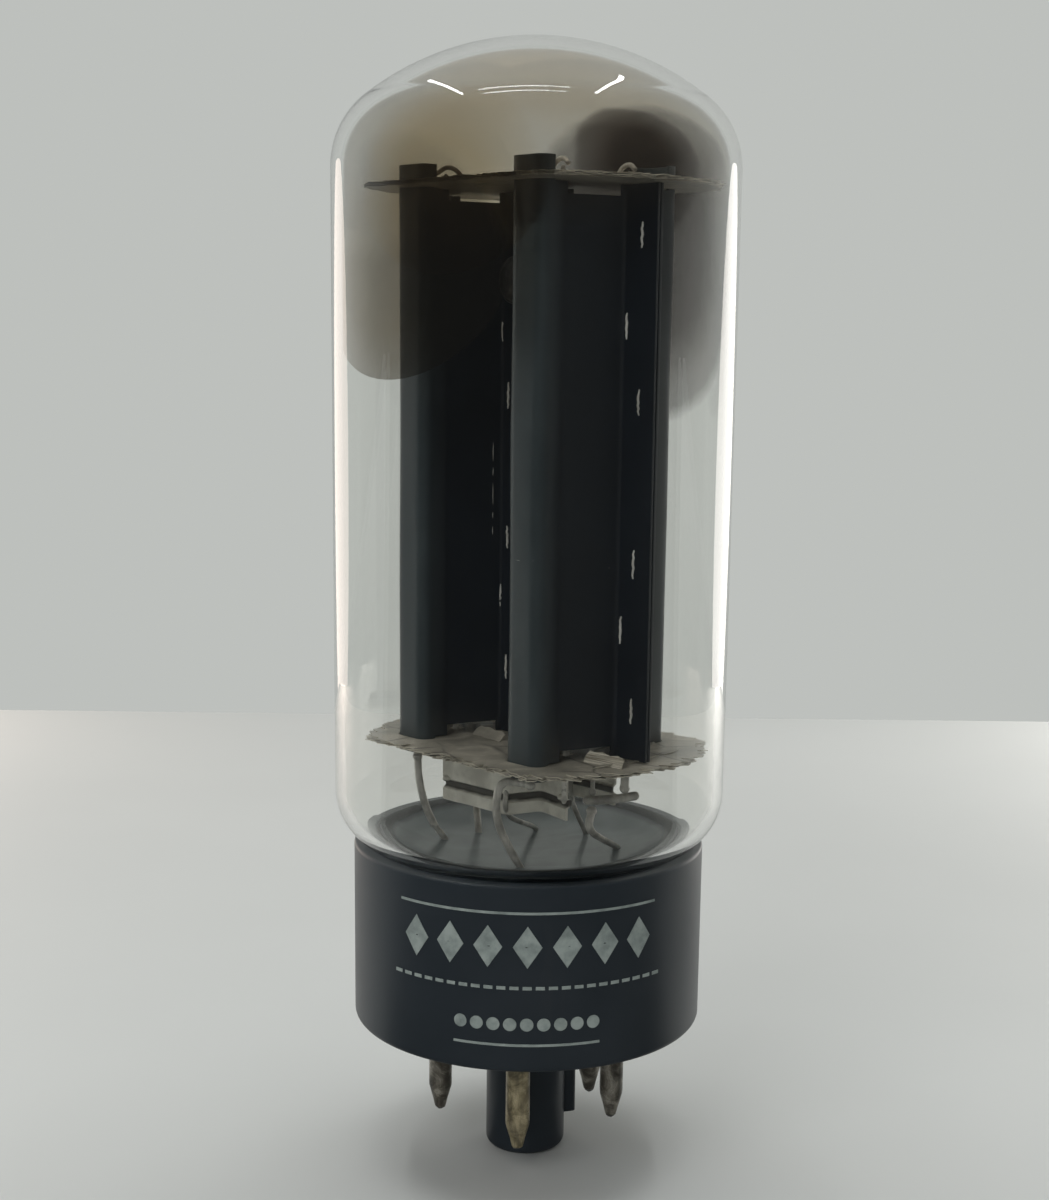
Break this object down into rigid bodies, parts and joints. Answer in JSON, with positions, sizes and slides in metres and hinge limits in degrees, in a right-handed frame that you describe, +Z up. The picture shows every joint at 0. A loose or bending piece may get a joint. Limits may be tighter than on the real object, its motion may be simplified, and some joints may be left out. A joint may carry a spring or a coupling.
{
  "type": "vacuum tube",
  "caption": "Rectifier vacuum tube: straight-sided domed glass bulb with blackened anode plates between mica discs, on a round black plug-in base with pins and a keyed locating plug.",
  "frame": {"origin": "centre of the flat tip of the locating plug", "axes": "+Z up along the tube's axis, +X towards the locating key on the plug"},
  "size_m": [0.0382, 0.0382, 0.1078],
  "materials": {
    "phenolic": "satin moulded phenolic",
    "cement": "rough basing cement",
    "plated_pin": "worn nickel plating over brass",
    "solder": "dull solder",
    "glass": "clear blown glass",
    "mica": "layered sheet mica",
    "carbonised_metal": "carbonised black, satin",
    "oxide_coating": "chalky emissive coating",
    "nickel": "dull drawn nickel",
    "copper": "drawn copper wire"
  },
  "bodies": {
    "root": {"base_shell": "phenolic", "base_cement": "cement", "pin_1": "plated_pin", "pin_solder_1": "solder", "pin_2": "plated_pin", "pin_solder_2": "solder", "pin_4": "plated_pin", "pin_solder_4": "solder", "pin_6": "plated_pin", "pin_solder_6": "solder", "pin_8": "plated_pin", "pin_solder_8": "solder", "glass_bulb": "glass", "button_stem": "glass", "exhaust_tip": "glass", "lower_mica": "mica", "upper_mica": "mica", "anode_a_front": "carbonised_metal", "filament_a_front": "oxide_coating", "filament_hook_a_front": "nickel", "tension_spring_a_front": "nickel", "anode_a_rear": "carbonised_metal", "filament_a_rear": "oxide_coating", "filament_hook_a_rear": "nickel", "tension_spring_a_rear": "nickel", "filament_link_a": "nickel", "support_rod_a": "nickel", "cross_rod_a": "nickel", "anode_b_front": "carbonised_metal", "filament_b_front": "oxide_coating", "filament_hook_b_front": "nickel", "tension_spring_b_front": "nickel", "anode_b_rear": "carbonised_metal", "filament_b_rear": "oxide_coating", "filament_hook_b_rear": "nickel", "tension_spring_b_rear": "nickel", "filament_link_b": "nickel", "support_rod_b": "nickel", "cross_rod_b": "nickel", "filament_strap_1": "nickel", "filament_strap_2": "nickel", "getter_pan_front": "nickel", "getter_wire_front": "nickel", "getter_pan_rear": "nickel", "getter_wire_rear": "nickel", "anode_a_lead": "nickel", "anode_b_lead": "nickel", "filament_1_lead": "nickel", "filament_2_lead": "nickel", "support_a_lead": "nickel", "support_b_lead": "nickel", "pin_wire_2": "copper", "pin_wire_4": "copper", "pin_wire_6": "copper", "pin_wire_8": "copper"}
  },
  "joints": []
}
